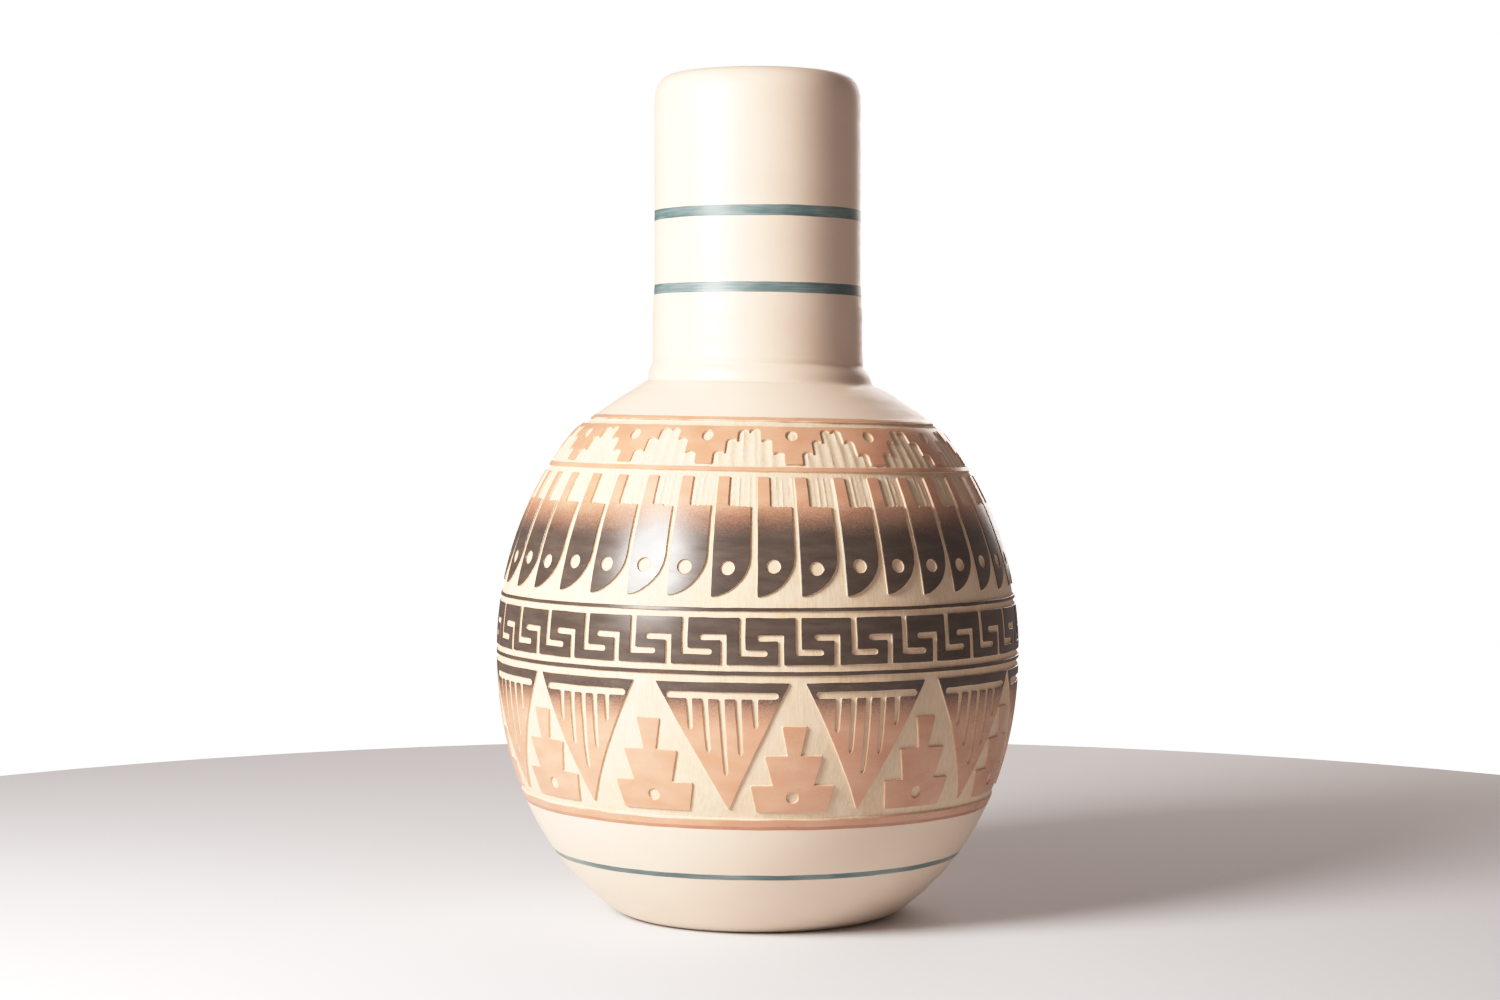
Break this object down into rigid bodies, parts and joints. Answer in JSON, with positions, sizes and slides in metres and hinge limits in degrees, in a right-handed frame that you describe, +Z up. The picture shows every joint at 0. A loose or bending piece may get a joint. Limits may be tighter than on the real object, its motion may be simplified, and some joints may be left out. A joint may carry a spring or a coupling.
{
  "type": "bottle vase",
  "caption": "Bottle-shaped earthenware vase with a round body, a straight neck and a carved slip-painted belt; holds flowers or stands as decoration.",
  "frame": {"origin": "centre of the foot, on the surface that the vase stands on", "axes": "+Z up along the neck; -Y faces the camera side of the pattern, +X to its right"},
  "size_m": [0.1562, 0.1562, 0.25],
  "materials": {
    "cream_clay": "satin burnished cream earthenware, matte where it is carved",
    "terracotta_slip": "burnished terracotta slip",
    "black_slip": "burnished black slip",
    "teal_slip": "thin brushed teal slip, satin"
  },
  "bodies": {
    "root": {"lower_bowl": "cream_clay", "upper_bowl": "cream_clay", "neck_tube": "cream_clay", "neck_luting_coil": "cream_clay", "teal_line_foot": "teal_slip", "teal_band_lower": "teal_slip", "teal_band_upper": "teal_slip", "lower_terracotta_line": "terracotta_slip", "divider_line": "terracotta_slip", "shoulder_line": "terracotta_slip", "lower_black_line": "black_slip", "upper_black_line": "black_slip", "cloud_band": "terracotta_slip", "feather_band": "black_slip", "key_band": "black_slip", "triangle_01": "terracotta_slip", "triangle_02": "terracotta_slip", "triangle_03": "terracotta_slip", "triangle_04": "terracotta_slip", "triangle_05": "terracotta_slip", "triangle_06": "terracotta_slip", "triangle_07": "terracotta_slip", "triangle_08": "terracotta_slip", "triangle_09": "terracotta_slip", "triangle_10": "terracotta_slip", "triangle_11": "terracotta_slip", "triangle_12": "terracotta_slip", "stepped_mesa_01": "terracotta_slip", "stepped_mesa_02": "terracotta_slip", "stepped_mesa_03": "terracotta_slip", "stepped_mesa_04": "terracotta_slip", "stepped_mesa_05": "terracotta_slip", "stepped_mesa_06": "terracotta_slip", "stepped_mesa_07": "terracotta_slip", "stepped_mesa_08": "terracotta_slip", "stepped_mesa_09": "terracotta_slip", "stepped_mesa_10": "terracotta_slip", "stepped_mesa_11": "terracotta_slip", "stepped_mesa_12": "terracotta_slip"}
  },
  "joints": []
}
